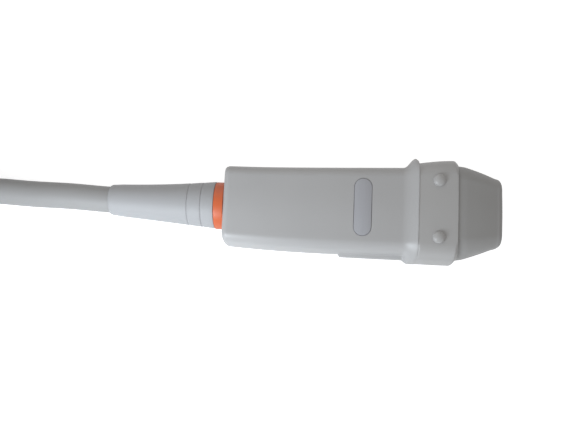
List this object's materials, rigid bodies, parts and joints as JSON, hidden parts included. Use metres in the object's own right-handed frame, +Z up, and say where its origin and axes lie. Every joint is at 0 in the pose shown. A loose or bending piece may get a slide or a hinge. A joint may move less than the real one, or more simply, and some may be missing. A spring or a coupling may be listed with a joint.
{
  "type": "ultrasound transducer probe",
  "caption": "Hand-held phased-array ultrasound probe with a finger-stop grip, tapered nose and lens, strain relief, coiled cable and a rectangular connector with a quarter-turn lock.",
  "frame": {"origin": "on the surface that the probe lies on, under the middle of the probe without its cable and connector", "axes": "+X along the probe towards its lens, +Y across its width, +Z up through its thickness; the badge faces up"},
  "size_m": [0.2791, 0.1102, 0.0451],
  "materials": {
    "grip_plastic": "fine satin",
    "nose_plastic": "fine satin",
    "lens_rubber": "smooth silicone",
    "badge_plastic": "bare",
    "ring_orange": "satin",
    "boot_rubber": "matte",
    "cable_jacket": "matte",
    "seal_rubber": "matte",
    "stack_epoxy": "ground",
    "piezo_ceramic": "diced ceramic",
    "backing_epoxy": "cast",
    "inner_plastic": "moulded",
    "copper_foil": "foil",
    "flex_film": "film",
    "circuit_board": "solder mask",
    "steel": "plain",
    "coax_bundle": "fine wires",
    "connector_plastic": "satin",
    "contact_plastic": "moulded",
    "knob_plastic": "satin"
  },
  "bodies": {
    "probe": {"upper_shell": "grip_plastic", "lower_shell": "grip_plastic", "head_collar": "grip_plastic", "nose_case": "nose_plastic", "acoustic_lens": "lens_rubber", "badge_plate": "badge_plastic", "id_ring": "ring_orange", "strain_relief": "boot_rubber", "head_gasket": "seal_rubber", "outer_matching_layer": "stack_epoxy", "inner_matching_layer": "stack_epoxy", "element_array": "piezo_ceramic", "backing_block": "backing_epoxy", "array_carrier": "inner_plastic", "shield_sleeve": "copper_foil", "chassis_plate": "steel", "upper_front_spacer": "inner_plastic", "upper_rear_spacer": "inner_plastic", "lower_front_spacer": "inner_plastic", "lower_rear_spacer": "inner_plastic", "upper_board": "circuit_board", "lower_board": "circuit_board", "upper_flex_circuit": "flex_film", "lower_flex_circuit": "flex_film", "upper_coax_bundle": "coax_bundle", "lower_coax_bundle": "coax_bundle", "crimp_ferrule": "steel", "cable_lead": "cable_jacket", "cable_coil": "cable_jacket", "cable_tail": "cable_jacket", "connector_boot": "boot_rubber", "connector_ferrule": "steel", "connector_wiring": "coax_bundle", "connector_case": "connector_plastic", "mating_frame": "steel", "contact_block": "contact_plastic", "connector_board": "circuit_board"},
    "lock": {"lock_shaft": "steel", "lock_knob": "knob_plastic"}
  },
  "joints": [
    {"name": "lock_turn", "type": "hinge", "parent": "probe", "child": "lock", "pos_m": [-0.16532, 0.02428, 0.0311], "axis": [1, 0, 0], "range_deg": [0, 90]}
  ]
}
